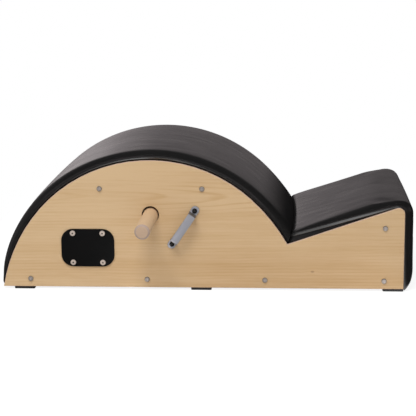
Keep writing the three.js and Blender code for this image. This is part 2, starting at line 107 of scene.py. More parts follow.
class Socket:
    """A node's output, so that a pattern's sums are written as Python expressions."""

    def __init__(self, finish, output):
        self.finish = finish
        self.output = output

    def math(self, operation, *others):
        values = dict(enumerate((self, *others)))
        return self.finish.node("ShaderNodeMath", {"operation": operation}, values)

    def __rsub__(self, other):
        return self.finish.node("ShaderNodeMath", {"operation": "SUBTRACT"}, {0: other, 1: self})

    __add__ = __radd__ = partialmethod(math, "ADD")
    __sub__ = partialmethod(math, "SUBTRACT")
    __mul__ = __rmul__ = partialmethod(math, "MULTIPLY")
    __truediv__ = partialmethod(math, "DIVIDE")
    __pow__ = partialmethod(math, "POWER")


class Finish:
    """A material built up from nodes, ending in one principled shader."""

    def __init__(self, name):
        self.material = bpy.data.materials.new(name)
        self.material.use_nodes = True
        self.tree = self.material.node_tree
        self.shader = self.tree.nodes["Principled BSDF"]

    def node(self, kind, settings=None, sockets=None, output=0):
        made = self.tree.nodes.new(kind)
        for setting, value in (settings or {}).items():
            if setting == "stops":
                for place, colour in value[2:]:
                    made.color_ramp.elements.new(place)
                for element, (place, colour) in zip(made.color_ramp.elements, value):
                    element.position = place
                    element.color = colour
            else:
                setattr(made, setting, value)
        for socket, value in (sockets or {}).items():
            if isinstance(value, Socket):
                self.tree.links.new(value.output, made.inputs[socket])
            else:
                made.inputs[socket].default_value = value
        return Socket(self, made.outputs[output])

    def split(self, vector):
        sockets = {0: vector}
        return [self.node("ShaderNodeSeparateXYZ", None, sockets, axis) for axis in range(3)]

    def place(self):
        """The x, y and z of the point that is shaded, in metres."""
        return self.split(self.node("ShaderNodeTexCoord", output="Object"))

    def facing_out(self):
        """1 where the surface faces along y, and 0 where it faces across it."""
        return self.split(self.node("ShaderNodeTexCoord", output="Normal"))[1].math("ABSOLUTE")

    def noise(self, place, grains, detail=2):
        """Noise from 0 to 1 with so many grains per metre along x, y and z."""
        x, y, z = (value * count for value, count in zip(place, grains))
        point = self.node("ShaderNodeCombineXYZ", sockets={0: x, 1: y, 2: z})
        sockets = {"Vector": point, "Scale": 1.0, "Detail": detail}
        return self.node("ShaderNodeTexNoise", sockets=sockets)

    def step(self, value, low, high):
        """0 below low, 1 above high and smooth between."""
        settings = {"interpolation_type": "SMOOTHSTEP"}
        sockets = {"Value": value, "From Min": low, "From Max": high}
        return self.node("ShaderNodeMapRange", settings, sockets)

    def mix(self, share, first, second):
        settings = {"data_type": "RGBA"}
        return self.node("ShaderNodeMix", settings, {0: share, 6: first, 7: second}, 2)

    def bump(self, height, distance, strength):
        sockets = {"Height": height, "Distance": distance, "Strength": strength}
        return self.node("ShaderNodeBump", sockets=sockets)

    def surface(self, **sockets):
        for name, value in sockets.items():
            socket = self.shader.inputs[name.replace("_", " ")]
            if isinstance(value, Socket):
                self.tree.links.new(value.output, socket)
            else:
                socket.default_value = value
        return self.material


def late_wood(finish, radius, ring, early):
    """Growth rings at that distance from the pith: each one darkens slowly and ends quickly."""
    turns = radius / ring
    share = turns.math("FRACT")
    past_dark = finish.step(share, late_wood_share, 1.0)
    return finish.step(share, early, late_wood_share) * (1 - past_dark)


def distance(across, up):
    return (across**2 + up**2) ** 0.5


def panel_finish():
    finish = Finish("lacquered_softwood_plywood")
    place = finish.place()
    x, y, z = place
    from_knot = distance((x - knot_place[0]) * knot_flatness, z - knot_place[1])
    near_knot = 1 - finish.step(from_knot, 0.0, knot_reach)
    sway = finish.noise(place, sway_grains) * sway_depth
    flutter = finish.noise(place, flutter_grains) * flutter_depth
    radius = distance((z - pith_height) * pith_squash, x * pith_slope + pith_depth)
    radius = radius + sway + flutter + near_knot * knot_swell
    rings = late_wood(finish, radius, face_ring, early_wood_share)
    strength = finish.step(finish.noise(place, strength_grains), *strength_range)
    from_figure = distance(
        (x - figure_place[0]) / figure_size[0], (z - figure_place[1]) / figure_size[1]
    )
    strength = strength + (1 - finish.step(from_figure, *figure_fade)) * figure_strength
    fibres = finish.noise(place, fibre_grains, 3)
    streaks = finish.noise(place, streak_grains, 3)
    bands = finish.noise(place, band_grains)
    clouds = finish.noise(place, cloud_grains)
    dark = rings * (strength * ring_dark + ring_dark_least)
    dark = dark + (fibres - 0.5) * fibre_dark + (streaks - 0.5) * streak_dark
    dark = dark + (bands - 0.5) * band_dark + (clouds - 0.5) * cloud_dark + dark_share
    dark = dark - finish.step(z, *paler_heights) * paler_share
    # Painted shade darkens the face towards the right
    painted_shade_to_right = finish.step(x, *painted_shade_span)
    light = finish.mix(painted_shade_to_right, face_light, face_light_painted_shade)
    face = finish.mix(dark, light, finish.mix(painted_shade_to_right, face_dark, face_dark_painted_shade))
    inside_knot = 1 - finish.step(from_knot, knot_radius * knot_core_share, knot_radius)
    face = finish.mix(inside_knot * knot_darkness, face, knot_colour)

    layer = y.math("PINGPONG", ply_thickness)
    grain = finish.noise(place, ply_grains)
    glue = finish.step(layer / ply_thickness + (grain - 0.5) * ply_fray, *glue_line)
    plies = finish.mix(glue * glue_dark + grain * grain_dark, ply_light, ply_dark)
    on_face = finish.step(finish.facing_out(), *face_turn)
    return finish.surface(
        Base_Color=finish.mix(on_face, plies, face),
        Roughness=0.46 + rings * 0.05 + fibres * 0.06,
        Normal=finish.bump(rings * 0.3 + fibres, 0.00012, 0.5),
    )


def dress(names, material):
    for name in names:
        slots = nodes[name].data.materials
        slots.clear()
        slots.append(material)


dress(["side_panel_front", "side_panel_back"], panel_finish())


# Rails
# Seven planed square bars of the same softwood, butted between the panels and held by a screw
# through each. They show from below, where nothing closes the corrector.

rail_names = sorted(name for name in nodes if "rail" in name)
rail_light = (0.6, 0.43, 0.235, 1)
rail_dark = (0.43, 0.27, 0.125, 1)
rail_ring = 0.0035
rail_early_share = 0.3
rail_pith_depth = 0.14
rail_pith_squash = 1.7
rail_sway_grains = (2, 3, 2)
rail_sway_depth = 0.05
rail_fibre_grains = (700, 14, 700)
rail_ring_dark = 0.5
rail_fibre_dark = 0.7


def rail_finish():
    finish = Finish("planed_softwood")
    place = finish.place()
    x, y, z = place
    sway = finish.noise(place, rail_sway_grains) * rail_sway_depth
    radius = distance(x * rail_pith_squash, z + rail_pith_depth) + sway
    rings = late_wood(finish, radius, rail_ring, rail_early_share)
    fibres = finish.noise(place, rail_fibre_grains, 3)
    dark = rings * rail_ring_dark + (fibres - 0.5) * rail_fibre_dark
    return finish.surface(
        Base_Color=finish.mix(dark, rail_light, rail_dark),
        Roughness=0.58 + fibres * 0.1,
        Normal=finish.bump(fibres, 0.0002, 0.6),
    )


dress(rail_names, rail_finish())


# Boards under the pads
# Thin bending plywood, bent over the rails and nailed to the panels' edges, with raw faces whose
# grain runs across the corrector.

board_light = (0.56, 0.38, 0.205, 1)
board_dark = (0.36, 0.215, 0.1, 1)
swirl_grains = (9, 2.2, 9)
swirl_lines = 14.0
swirl_dark = 0.4
board_fibre_grains = (900, 18, 900)
board_fibre_dark = 0.8


def board_finish():
    finish = Finish("raw_bending_plywood")
    place = finish.place()
    swirl = finish.noise(place, swirl_grains) * swirl_lines
    figure = swirl.math("FRACT")
    fibres = finish.noise(place, board_fibre_grains, 3)
    dark = figure * swirl_dark + (fibres - 0.5) * board_fibre_dark
    return finish.surface(
        Base_Color=finish.mix(dark, board_light, board_dark),
        Roughness=0.7 + fibres * 0.12,
        Normal=finish.bump(fibres, 0.0003, 0.7),
    )


raw_board = board_finish()
dress(["step_deck", "end_deck"], raw_board)


# Pads
# Foam on those boards under black upholstery leather, pulled tight over the long edges, turned
# under and stapled. The barrel pad thins to its bare board near the floor. The step pad turns
# down over the end, and the two meet in a mitred crease.

crest_height = 0.303
crest_radius = 0.349
left_radius = 0.384
right_radius = 0.428
left_blend = radians(138)
right_blend = radians(47.6)
step_end = 0.59
step_end_height = 0.199
step_rise = radians(19)
corner_radius = 0.014

pad_half_width = 0.2258
pad_thickness = 0.0225
valley_extra = 0.002
crown_share = 0.08
barrel_shoulder_share = 1.25
step_shoulder_share = 1.0
edge_round = 0.0006
wall_share = 0.02
barrel_wall_share = 0.06
wall_lean = 0.3
barrel_bulge = (0.3, 0.3)
end_bulge = (0.03, 0.03)
stretch_share = 0.29
stretch_start_share = 0.17
stretch_reach = 0.03
end_thinning_share = 0.075
belly_at_valley = 0.86
belly_at_corner = 0.3
curl_height = 0.36
curl_depth = 0.3
valley_push = 0.005
valley_push_reach = 0.07
leather = 0.0012
clearance = 0.0003
board_thickness = 0.0035
board_half_width = 0.217
hem_half_width = 0.203
barrel_pad_start = 0.008
foam_ramp_start = 0.026
foam_ramp_length = 0.055
step_pad_drop = 0.002
step_pad_round = 0.046
end_wall = 0.003
end_roll = 0.0035
no_roll = 1e-6
barrel_taper = 0.042
barrel_taper_depth = 0.0066
board_setback = 0.015
barrel_valley_roll = 0.0015
step_valley_roll = 0.003
step_valley_side = 0.007
step_valley_side_length = 0.016
roll_side_share = 0.5

station_pitch = 0.006
roll_stations = 6
edge_steps = 2
bulge_steps = 6
shoulder_steps = 9
crown_steps = 16
hem_points = 6
belly_column = hem_points + edge_steps + bulge_steps
stapled_columns = 9
stapled_rows = 3
filling_pressure = 4
filling_frames = 20
most_swell = 0.002
flattening_rate = 2.5
merge_distance = 1e-6
pad_smooth_angle = radians(40)

hem_top = clearance + leather
board_bottom = hem_top + clearance
board_top = board_bottom + board_thickness
foam_bottom = board_top + clearance
bare_total = foam_bottom + clearance + leather

crest_x = panel_high.x - step_end
base_z = panel_low.z


def turned(centre, radius, angle):
    return centre + radius * Vector((cos(angle), sin(angle)))


crest_centre = Vector((crest_x, base_z + crest_height - crest_radius))
left_centre = turned(crest_centre, crest_radius - left_radius, left_blend)
right_centre = turned(crest_centre, crest_radius - right_radius, right_blend)
step_along = Vector((cos(step_rise), sin(step_rise)))
step_normal = Vector((-sin(step_rise), cos(step_rise)))
step_offset = Vector((panel_high.x, base_z + step_end_height)).dot(step_normal)
corner_x = panel_high.x - corner_radius
corner_centre = Vector((corner_x, 0.0))
corner_centre.y = (step_offset - corner_radius - corner_x * step_normal.x) / step_normal.y


def valley_point(flank_lift, step_lift):
    """Where the right flank, lifted off the panels' edge, meets the step line, lifted too."""
    radius = right_radius + flank_lift
    distance = step_offset + step_lift - right_centre.dot(step_normal)
    along = sqrt(radius**2 - distance**2)
    return right_centre + distance * step_normal + along * step_along


def angle_from(centre, point):
    return atan2(point.y - centre.y, point.x - centre.x)


left_start = pi - asin((base_z + barrel_pad_start - left_centre.y) / left_radius)
valley_angle = angle_from(right_centre, valley_point(0, 0))
mitre_turn = step_rise + pi / 2 - valley_angle
mitre_trim = clearance * sin(mitre_turn / 2)
barrel_arcs = (
    (left_centre, left_radius, left_start, left_blend),
    (crest_centre, crest_radius, left_blend, right_blend),
    (right_centre, right_radius, right_blend, valley_angle),
)
barrel_length = sum(radius * (first - last) for centre, radius, first, last in barrel_arcs)


def barrel_place(length, lift):
    """The point at that length from the barrel pad's lower end, lifted off the panels' edge."""
    for centre, radius, first, last in barrel_arcs:
        arc = radius * (first - last)
        if centre is right_centre:
            last = angle_from(centre, valley_point(lift, lift + mitre_trim))
        if length <= arc or centre is right_centre:
            return turned(centre, radius + lift, first + (last - first) * length / arc)
        length -= arc


def barrel_thickness(length):
    edge = barrel_place(length, 0)
    if edge.x > crest_x:
        return pad_thickness
    foam = 1 - exp(-max(0, edge.y - base_z - foam_ramp_start) / foam_ramp_length)
    return bare_total + (pad_thickness - bare_total) * foam


corner_turn = step_rise + pi / 2
slope_end = turned(corner_centre, corner_radius, corner_turn)
slope_length = (slope_end - valley_point(0, 0)).length
corner_length = (corner_radius + pad_thickness) * corner_turn
drop_length = corner_centre.y - base_z + step_pad_drop
step_length = slope_length + corner_length + drop_length


def step_place(length, lift):
    """The point at that length from the valley along the step pad, lifted off its edge."""
    if length <= slope_length:
        start = valley_point(lift + mitre_trim, lift)
        end = turned(corner_centre, corner_radius + lift, corner_turn)
        return start.lerp(end, length / slope_length)
    length -= slope_length
    if length <= corner_length:
        angle = corner_turn * (1 - length / corner_length)
        return turned(corner_centre, corner_radius + lift, angle)
    return corner_centre + Vector((corner_radius + lift, corner_length - length))


def step_thickness(length):
    past_corner = length - slope_length - corner_length * stretch_start_share
    stretch = stretch_share * exp(-((past_corner / stretch_reach) ** 2))
    stretch += end_thinning_share * min(max(length - slope_length, 0) / corner_length, 1)
    total = pad_thickness * (1 - stretch)
    total += valley_extra * max(1 - length / slope_length, 0)
    share = min((step_length - length) / step_pad_round, 1)
    return max(total * sqrt(1 - (1 - share) ** 2), bare_total / 2)


def rolled(distance, length, depth):
    """How far a pad's rounded end is drawn in at that distance from it."""
    if distance >= length:
        return 0
    return depth * (1 - sqrt(1 - (1 - distance / length) ** 2))


def arc_points(start, end, steps, upright_first):
    """Points of a quarter ellipse after its start, which leaves it upright or level."""
    points = []
    for i in range(1, steps + 1):
        angle = pi / 2 * i / steps
        slow, fast = 1 - cos(angle), sin(angle)
        across, up = (slow, fast) if upright_first else (fast, slow)
        point = (start[0] + (end[0] - start[0]) * across, start[1] + (end[1] - start[1]) * up)
        points.append(point)
    return points


def pad_section(total, drawn_in, side_in, boarded, wall, bulge, shoulder):
    """A closed loop of y and lift: hem, wall, bulge, shoulder and crown, then mirrored."""
    half_width = pad_half_width - side_in
    bottom = clearance
    top = max(total - drawn_in, bottom + leather)
    height = top - bottom
    under = foam_bottom if boarded else bottom
    hem = hem_top if boarded else bottom
    board_edge = board_half_width + clearance
    wall_top = bottom + height * wall
    wall_in = half_width - height * bulge[1]
    wall_foot = wall_in + (wall_top - bottom) * wall_lean
    belly = wall_top + height * bulge[0]
    shoulder *= height
    round_off = min(edge_round, height / 4)
    half = [(0, under), (board_edge, under), (board_edge, hem), (hem_half_width, hem)]
    half += [(hem_half_width, bottom), (wall_foot - round_off, bottom)]
    wall_start = (wall_foot, min(bottom + round_off, wall_top - height * 0.01))
    half += arc_points(half[-1], wall_start, edge_steps, False)
    half.append((wall_in, wall_top))
    half += arc_points((wall_in, wall_top), (half_width, belly), bulge_steps, False)
    half += arc_points((half_width, belly), (half_width - shoulder, top), shoulder_steps, True)
    for i in range(1, crown_steps + 1):
        share = i / crown_steps
        rise = crown_share * total * (1 - (1 - share) ** 2)
        half.append(((half_width - shoulder) * (1 - share), top + rise))
    return half + [(-y, lift) for y, lift in reversed(half[1:-1])]


def station_lengths(total_length, first_roll, last_roll, extra=()):
    """Lengths along a pad, close together where its ends are rolled."""
    lengths = set(extra)
    for i in range(roll_stations + 1):
        share = 1 - cos(pi / 2 * i / roll_stations)
        lengths.add(first_roll * share)
        lengths.add(total_length - last_roll * share)
    straight = total_length - first_roll - last_roll
    spaces = round(straight / station_pitch)
    for i in range(1, spaces):
        lengths.add(first_roll + straight * i / spaces)
    return sorted(lengths)


edit = bpy.ops.mesh


def select_only(thing):
    bpy.ops.object.select_all(action="DESELECT")
    thing.select_set(True)
    bpy.context.view_layer.objects.active = thing


def begin(name, add, scale=(1, 1, 1), **sizes):
    """Adds a primitive of that name at its final size, with nothing else selected."""
    bpy.ops.object.select_all(action="DESELECT")
    add(**sizes)
    thing = bpy.context.object
    thing.name = name
    thing.scale = scale
    bpy.ops.object.transform_apply()
    return thing


def smooth(angle):
    bpy.ops.object.shade_smooth_by_angle(angle=angle)


def upholster(name, rows, start=0, belly=0):
    """Wraps a grid round a pad, row by row, and closes its ends. A row has its section and place.
    The leather's own coordinates are the length from the start and the girth up from the belly."""
    columns = len(rows[0]["section"])
    grid = {"x_subdivisions": len(rows) - 1, "y_subdivisions": columns, "size": 1}
    pad = begin(name, edit.primitive_grid_add, **grid)
    stapled = pad.vertex_groups.new(name="stapled")
    spots = {}
    for vertex in pad.data.vertices:
        number = round((vertex.co.x + 0.5) * (len(rows) - 1))
        row = rows[number]
        column = round((vertex.co.y + 0.5) * columns)
        from_hem = min(column % columns, columns - column % columns)
        from_end = min(number, len(rows) - 1 - number)
        if from_hem <= stapled_columns or from_end < stapled_rows:
            stapled.add([vertex.index], 1.0, "REPLACE")
        y, lift = row["section"][column % columns]
        place = row["place"](row["length"], lift)
        spots[vertex.index] = (row["length"], column)
        vertex.co = (place.x, y, place.y)
    section = rows[len(rows) // 2]["section"]
    steps = [dist(*pair) for pair in zip(section, section[1:] + section[:1])]
    girth = np.cumsum([0] + steps)
    girth = np.minimum(girth, girth[-1] - girth) - girth[belly]
    layer = pad.data.uv_layers[0]
    layer.name = "leather"
    for loop in pad.data.loops:
        length, column = spots[loop.vertex_index]
        layer.data[loop.index].uv = (start + length, girth[column])
    bpy.ops.object.mode_set(mode="EDIT")
    edit.select_all(action="SELECT")
    edit.remove_doubles(threshold=merge_distance)
    edit.fill_holes(sides=0)
    edit.select_all(action="SELECT")
    edit.normals_make_consistent(inside=False)
    bpy.ops.object.mode_set(mode="OBJECT")
    smooth(pad_smooth_angle)
    return pad


def pad_rows(place, thickness, sides, lengths, ends, board):
    """A row for each length, and two where the board under the pad begins or ends. Each end has
    the length and depth of its roll on top and then of its roll at the sides."""
    rows = []
    for length in lengths:
        from_end = (length, lengths[-1] - length)
        drawn_in = sum(rolled(gap, *end[:2]) for gap, end in zip(from_end, ends))
        side_in = sum(rolled(gap, *end[2:]) for gap, end in zip(from_end, ends))
        before, after = board[0] < length <= board[1], board[0] <= length < board[1]
        for boarded in [before] if before == after else [before, after]:
            section = pad_section(thickness(length), drawn_in, side_in, boarded, *sides(length))
            rows.append({"place": place, "length": length, "section": section})
    return rows


def barrel_sides(length):
    """The barrel pad's wall, bulge and shoulder, which are the same all along."""
    return barrel_wall_share, barrel_bulge, barrel_shoulder_share


def step_sides(length):
    """The step pad's sides bulge high up by the valley, lower towards the corner, then flatten."""
    along = min(length / slope_length, 1)
    past = min(max(length - slope_length, 0) / corner_length, 1)
    belly = belly_at_valley + (belly_at_corner - belly_at_valley) * along
    wall = max(belly - curl_height, wall_share)
    flat = min(past * flattening_rate, 1)
    bulge = [a + (b - a) * flat for a, b in zip((belly - wall, curl_depth), end_bulge)]
    return wall, bulge, step_shoulder_share


def fill_pad(pad):
    """Presses the foam out against the leather, which its staples and its ends hold back."""
    start = np.array([vertex.co for vertex in pad.data.vertices])
    skin = pad.modifiers.new("filling", "CLOTH")
    skin.settings.vertex_group_mass = "stapled"
    skin.settings.use_pressure = True
    skin.settings.uniform_pressure_force = filling_pressure
    skin.settings.effector_weights.gravity = 0
    for number in range(1, filling_frames + 1):
        bpy.context.scene.frame_set(number)
    select_only(pad)
    bpy.ops.object.modifier_apply(modifier=skin.name)
    bpy.context.scene.frame_set(1)
    moves = np.array([vertex.co for vertex in pad.data.vertices]) - start
    far = np.linalg.norm(moves, axis=1, keepdims=True)
    filled = start + moves * most_swell / (most_swell + far)
    pad.data.vertices.foreach_set("co", filled.ravel())
    pad.data.update()


def push_valley(pad):
    """Moves the crease where the pads meet along the step, most in the middle of its length."""
    valley = valley_point(0, 0)
    mitre = valley_point(pad_thickness, pad_thickness) - valley
    for vertex in pad.data.vertices:
        from_valley = Vector((vertex.co.x, vertex.co.z)) - valley
        height = min(max(from_valley.dot(mitre) / mitre.length_squared, 0), 1)
        gap = abs(from_valley.x * mitre.y - from_valley.y * mitre.x) / mitre.length
        near = max(1 - gap / valley_push_reach, 0) ** 2
        middle = max(1 - (vertex.co.y / pad_half_width) ** 2, 0)
        push = valley_push * near * middle * height**2
        vertex.co.x += push * step_along.x
        vertex.co.z += push * step_along.y
    pad.data.update()


ends = (
    (barrel_taper, barrel_taper_depth, end_roll, end_roll * roll_side_share),
    (barrel_valley_roll,) * 4,
)
lengths = station_lengths(barrel_length, barrel_taper, barrel_valley_roll, [board_setback])
boarded = (board_setback, inf)
barrel_pad = upholster(
    "barrel_pad",
    pad_rows(barrel_place, barrel_thickness, barrel_sides, lengths, ends, boarded),
    start=-barrel_length,
    belly=belly_column,
)
board_end = step_length - step_pad_drop - end_wall
lengths = station_lengths(step_length, step_valley_side_length, end_roll, [board_end])
ends = (
    (step_valley_roll, step_valley_roll, step_valley_side_length, step_valley_side),
    (no_roll,) * 4,
)
boarded = (-inf, board_end)
step_pad = upholster(
    "step_pad",
    pad_rows(step_place, step_thickness, step_sides, lengths, ends, boarded),
    belly=belly_column,
)
for pad in (barrel_pad, step_pad):
    fill_pad(pad)
    push_valley(pad)

board_section = [
    (board_half_width, board_bottom),
    (board_half_width, board_top),
    (-board_half_width, board_top),
    (-board_half_width, board_bottom),
]
lengths = [length for length in station_lengths(barrel_length, 0, 0) if length > board_setback]
barrel_board = upholster(
    "barrel_board",
    [
        {"place": barrel_place, "length": length, "section": board_section}
        for length in [board_setback + clearance] + lengths[1:]
    ],
)
barrel_board.data.materials.append(raw_board)
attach(barrel_board, "frame")
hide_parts("barrel_deck")

leather_colour = (0.0062, 0.006, 0.006, 1)
leather_worn = (0.0115, 0.0105, 0.0108, 1)
leather_streak_grains = (8, 42, 1)
leather_fine_grains = (24, 300, 1)
leather_fine_layer = 3.0
leather_cloud_grains = (9,) * 3
leather_crease_grains = (420,) * 3
pebbles_per_metre = 900.0
crease_begins = (-0.14, -0.02)
crease_ends = (0.0, 0.012)
tucked_girths = (-0.0068, -0.004)
rubbed_least = 0.9
rubbed_from = (0.0, 0.005)
rubbed_more = 0.34
rubbed_fade = (0.0, 0.3)
rubbed_less = 0.6


def leather_finish():
    finish = Finish("black_upholstery_leather")
    along, girth = finish.split(finish.node("ShaderNodeUVMap", {"uv_map": "leather"}))[:2]
    place = finish.place()
    across = place[1]
    streaks = finish.noise((along, across, 0.0), leather_streak_grains, 4)
    fine_streaks = finish.noise((along, across, leather_fine_layer), leather_fine_grains, 3)
    clouds = finish.noise(place, leather_cloud_grains, 3)
    point = finish.node("ShaderNodeTexCoord", output="Object")
    sockets = {"Vector": point, "Scale": pebbles_per_metre}
    pebbles = finish.node("ShaderNodeTexVoronoi", {"feature": "SMOOTH_F1"}, sockets)
    creases = finish.noise(place, leather_crease_grains, 3)
    shine = (streaks - 0.5) * 0.2 + (fine_streaks - 0.5) * 0.12 + (clouds - 0.5) * 0.1
    polish = (streaks - 0.5) * 1.5 + (fine_streaks - 0.5) * 0.4 + (clouds - 0.5) * 0.8
    crease = finish.step(along, *crease_begins) * (1 - finish.step(along, *crease_ends))
    tucked = 1 - finish.step(girth, *tucked_girths)
    rubbed = finish.step(along, *rubbed_from) * rubbed_more + rubbed_least
    rubbed = rubbed - finish.step(along, *rubbed_fade) * rubbed_less
    height = pebbles * 0.3 + creases * 0.4 + fine_streaks * 0.4
    return finish.surface(
        Base_Color=finish.mix(streaks * 0.5 + fine_streaks * 0.3, leather_colour, leather_worn),
        Roughness=0.36 + shine + crease * 0.4 + tucked * 0.5,
        Normal=finish.bump(height, 0.0002, 0.5),
        IOR=1.38,
        Coat_Weight=(0.88 + polish) * (1 - crease) * (1 - tucked) * rubbed,
        Coat_Roughness=0.2,
        Coat_IOR=1.7,
    )


leather_material = leather_finish()
for pad, replaced in (
    (barrel_pad, ("barrel_cover", "barrel_foam")),
    (step_pad, ("step_cover", "step_foam")),
):
    pad.data.materials.append(leather_material)
    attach(pad, "frame")
    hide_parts(*replaced)


# Screws through the panels
# Zinc plated wood screws with pan heads and a cross recess, driven through the panels, one into
# each end of every rail.

screw_sides = 40
screw_turn_step = radians(37)
smooth_angle = radians(35)
rim_share = 0.35
rim_steps = 6
dish_share = 0.3
dish_depth_share = 0.06
hex_depth_share = 1.5
cross_depth_share = 0.75
cross_length_share = 1.1
cross_width_share = 0.22
tip_length = 0.004
tip_share = 0.1
mostly = 0.9
fully = 0.999
brushed_grains = (900,) * 3
patch_grains = (90,) * 3
patch_dull = 0.2
dull_and_shade_share = 0.4
rim_shade_turn = (0.75, 0.98)


def metal(name, colour, roughness, bright=0.5, rim=0.3):
    """Plated metal with duller patches at random, and painted shade that makes a head's rim and the
    sides of its recess darker than its face.
    """
    finish = Finish(name)
    place = finish.place()
    brushed = finish.noise(place, brushed_grains)
    patches = finish.noise(place, patch_grains)
    dull_and_shaded = tuple(dull_and_shade_share * value for value in colour[:3]) + (1,)
    # Painted shade on the faces that turn away from y, such as a head's rim
    rim_shade_mask = 1 - finish.step(finish.facing_out(), *rim_shade_turn)
    return finish.surface(
        Base_Color=finish.mix(patches * patch_dull + rim_shade_mask * rim, colour, dull_and_shaded),
        Metallic=bright,
        Roughness=roughness + (brushed - 0.5) * 0.08 + (patches - 0.5) * 0.08,
        Normal=finish.bump(brushed, 0.00004, 0.4),
    )


# The zinc heads get the strongest painted shade on their rims
zinc = metal("zinc_plating", (0.44, 0.39, 0.36, 1), 0.46, bright=0.3, rim=0.9)
recess_shadow = metal("recess_shadow", (0.09, 0.07, 0.06, 1), 0.6, 0.2)
# A pale lining painted into the cross recess as a highlight
recess_painted_highlight = metal("recess_painted_highlight", (0.66, 0.6, 0.58, 1), 0.4, bright=0.1, rim=0.0)


def take_up(thing, kind):
    """Selects only that object, with nothing picked on it and its faces or edges to pick."""
    bpy.ops.object.mode_set(mode="OBJECT")
    select_only(thing)
    bpy.context.tool_settings.mesh_select_mode = (False, kind == "edges", kind == "faces")
    for part in (*thing.data.vertices, *thing.data.edges, *thing.data.polygons):
        part.select = False


def pick_faces(thing, test):
    """Enters edit mode on the faces whose centre and normal pass the test."""
    take_up(thing, "faces")
    for face in thing.data.polygons:
        face.select = bool(test(face.center, face.normal))
    bpy.ops.object.mode_set(mode="EDIT")


def extrude(way):
    edit.extrude_region_move(TRANSFORM_OT_translate={"value": way})


def cut_out(thing, cutter, lining):
    cutter.data.materials.append(lining)
    bpy.context.view_layer.objects.active = thing
    recess = thing.modifiers.new("recess", "BOOLEAN")
    recess.operation = "DIFFERENCE"
    recess.material_mode = "TRANSFER"
    recess.object = cutter
    bpy.ops.object.modifier_apply(modifier=recess.name)
    bpy.data.objects.remove(cutter)


def screw(name, plating, head, shank, hex_size=None):
    """A screw with its head's underside at the origin, head up. Head and shank have a radius and
    a length. A hexagon is measured across its flats, and a screw without one has a cross."""
    head_radius, head_height = head
    shank_radius, shank_length = shank
    sizes = {"vertices": screw_sides, "radius": head_radius, "depth": head_height}
    middle = (0, 0, head_height / 2)
    made = begin(name, edit.primitive_cylinder_add, location=middle, **sizes)
    made.data.materials.append(plating)
    pick_faces(made, lambda centre, normal: normal.z > mostly)
    edit.bevel(offset=head_height * (1 - rim_share), segments=rim_steps, affect="EDGES")
    pick_faces(made, lambda centre, normal: normal.z > fully)
    edit.inset(thickness=head_radius * dish_share, depth=head_height * dish_depth_share)
    pick_faces(made, lambda centre, normal: normal.z < -mostly)
    edit.inset(thickness=head_radius - shank_radius)
    extrude((0, 0, tip_length - shank_length))
    extrude((0, 0, -tip_length))
    bpy.ops.transform.resize(value=(tip_share, tip_share, 1))
    bpy.ops.object.mode_set(mode="OBJECT")
    face = (0, 0, head_height)
    if hex_size:
        sizes = {"radius": hex_size / sqrt(3), "depth": head_height * hex_depth_share}
        sizes |= {"vertices": 6, "location": face}
        hexagon = begin("hexagon", edit.primitive_cylinder_add, **sizes)
        cut_out(made, hexagon, recess_shadow)
    else:
        length, width = head_radius * cross_length_share, head_radius * cross_width_share
        for size in ((length, width), (width, length)):
            scale = (*size, head_height * cross_depth_share)
            bar = begin("cross_bar", edit.primitive_cube_add, scale, size=1, location=face)
            # The cross recess is lined with a painted highlight
            cut_out(made, bar, recess_painted_highlight)
    select_only(made)
    smooth(smooth_angle)
    return made


def lay_copy(pattern, name, place, outward, turn):
    """Copies a pattern made head up to a place, turned and then tipped to face along y."""
    copy = pattern.copy()
    copy.data = pattern.data.copy()
    copy.name = name
    bpy.context.collection.objects.link(copy)
    facing = Matrix.Rotation(-outward * pi / 2, 4, "X")
    copy.data.transform(Matrix.Translation(place) @ facing @ Matrix.Rotation(turn, 4, "Z"))
    return copy


def place_copy(pattern, name, turn):
    """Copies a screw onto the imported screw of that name, turned so that its head faces out."""
    low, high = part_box(name)
    outward = -1 if low.y < 0 else 1
    head_top = low.y if outward < 0 else high.y
    height = max(vertex.co.z for vertex in pattern.data.vertices)
    place = Vector(((low.x + high.x) / 2, head_top - outward * height, (low.z + high.z) / 2))
    copy = lay_copy(pattern, name + "_shown", place, outward, turn)
    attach(copy, "frame")
    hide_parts(name)


def place_copies(pattern):
    """Copies a screw onto each packed screw of its name, every next one turned further."""
    for number, name in enumerate(sorted(name for name in nodes if name.startswith(pattern.name))):
        place_copy(pattern, name, number * screw_turn_step)
    bpy.data.objects.remove(pattern)


place_copies(screw("panel_screw", zinc, head=(0.006, 0.0026), shank=(0.003, 0.052)))


# Name plate
# A plate of matte black plastic with large round corners, held flat on the front panel by a pale
# screw near each corner.

plate_corner = 0.028
plate_corner_steps = 14
plate_edge = 0.0006
plate_edge_steps = 3
plate_smooth_angle = radians(30)
plate_dark = (0.0052, 0.0052, 0.0054, 1)
plate_light = (0.0075, 0.0075, 0.0077, 1)
stipple_grains = (2200,) * 3
plate_cloud_grains = (30,) * 3
hair = 1e-5


def block(name, low, high):
    """A block that fills the box between two corners."""
    middle = (low + high) / 2
    return begin(name, edit.primitive_cube_add, high - low, size=1, location=middle)


def bevel_edges(thing, test, offset, segments):
    """Rounds the edges whose direction and middle pass the test."""
    take_up(thing, "edges")
    vertices = thing.data.vertices
    for edge in thing.data.edges:
        first, last = (vertices[index].co for index in edge.vertices)
        edge.select = bool(test((last - first).normalized(), (first + last) / 2))
    bpy.ops.object.mode_set(mode="EDIT")
    edit.bevel(offset=offset, segments=segments, affect="EDGES")
    bpy.ops.object.mode_set(mode="OBJECT")


plate_low, plate_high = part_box("name_plate")
plate = block("bare_plate", plate_low, plate_high)
bevel_edges(plate, lambda way, middle: abs(way.y) > mostly, plate_corner, plate_corner_steps)
bevel_edges(
    plate, lambda way, middle: middle.y < plate_low.y + hair, plate_edge, plate_edge_steps
)
smooth(plate_smooth_angle)


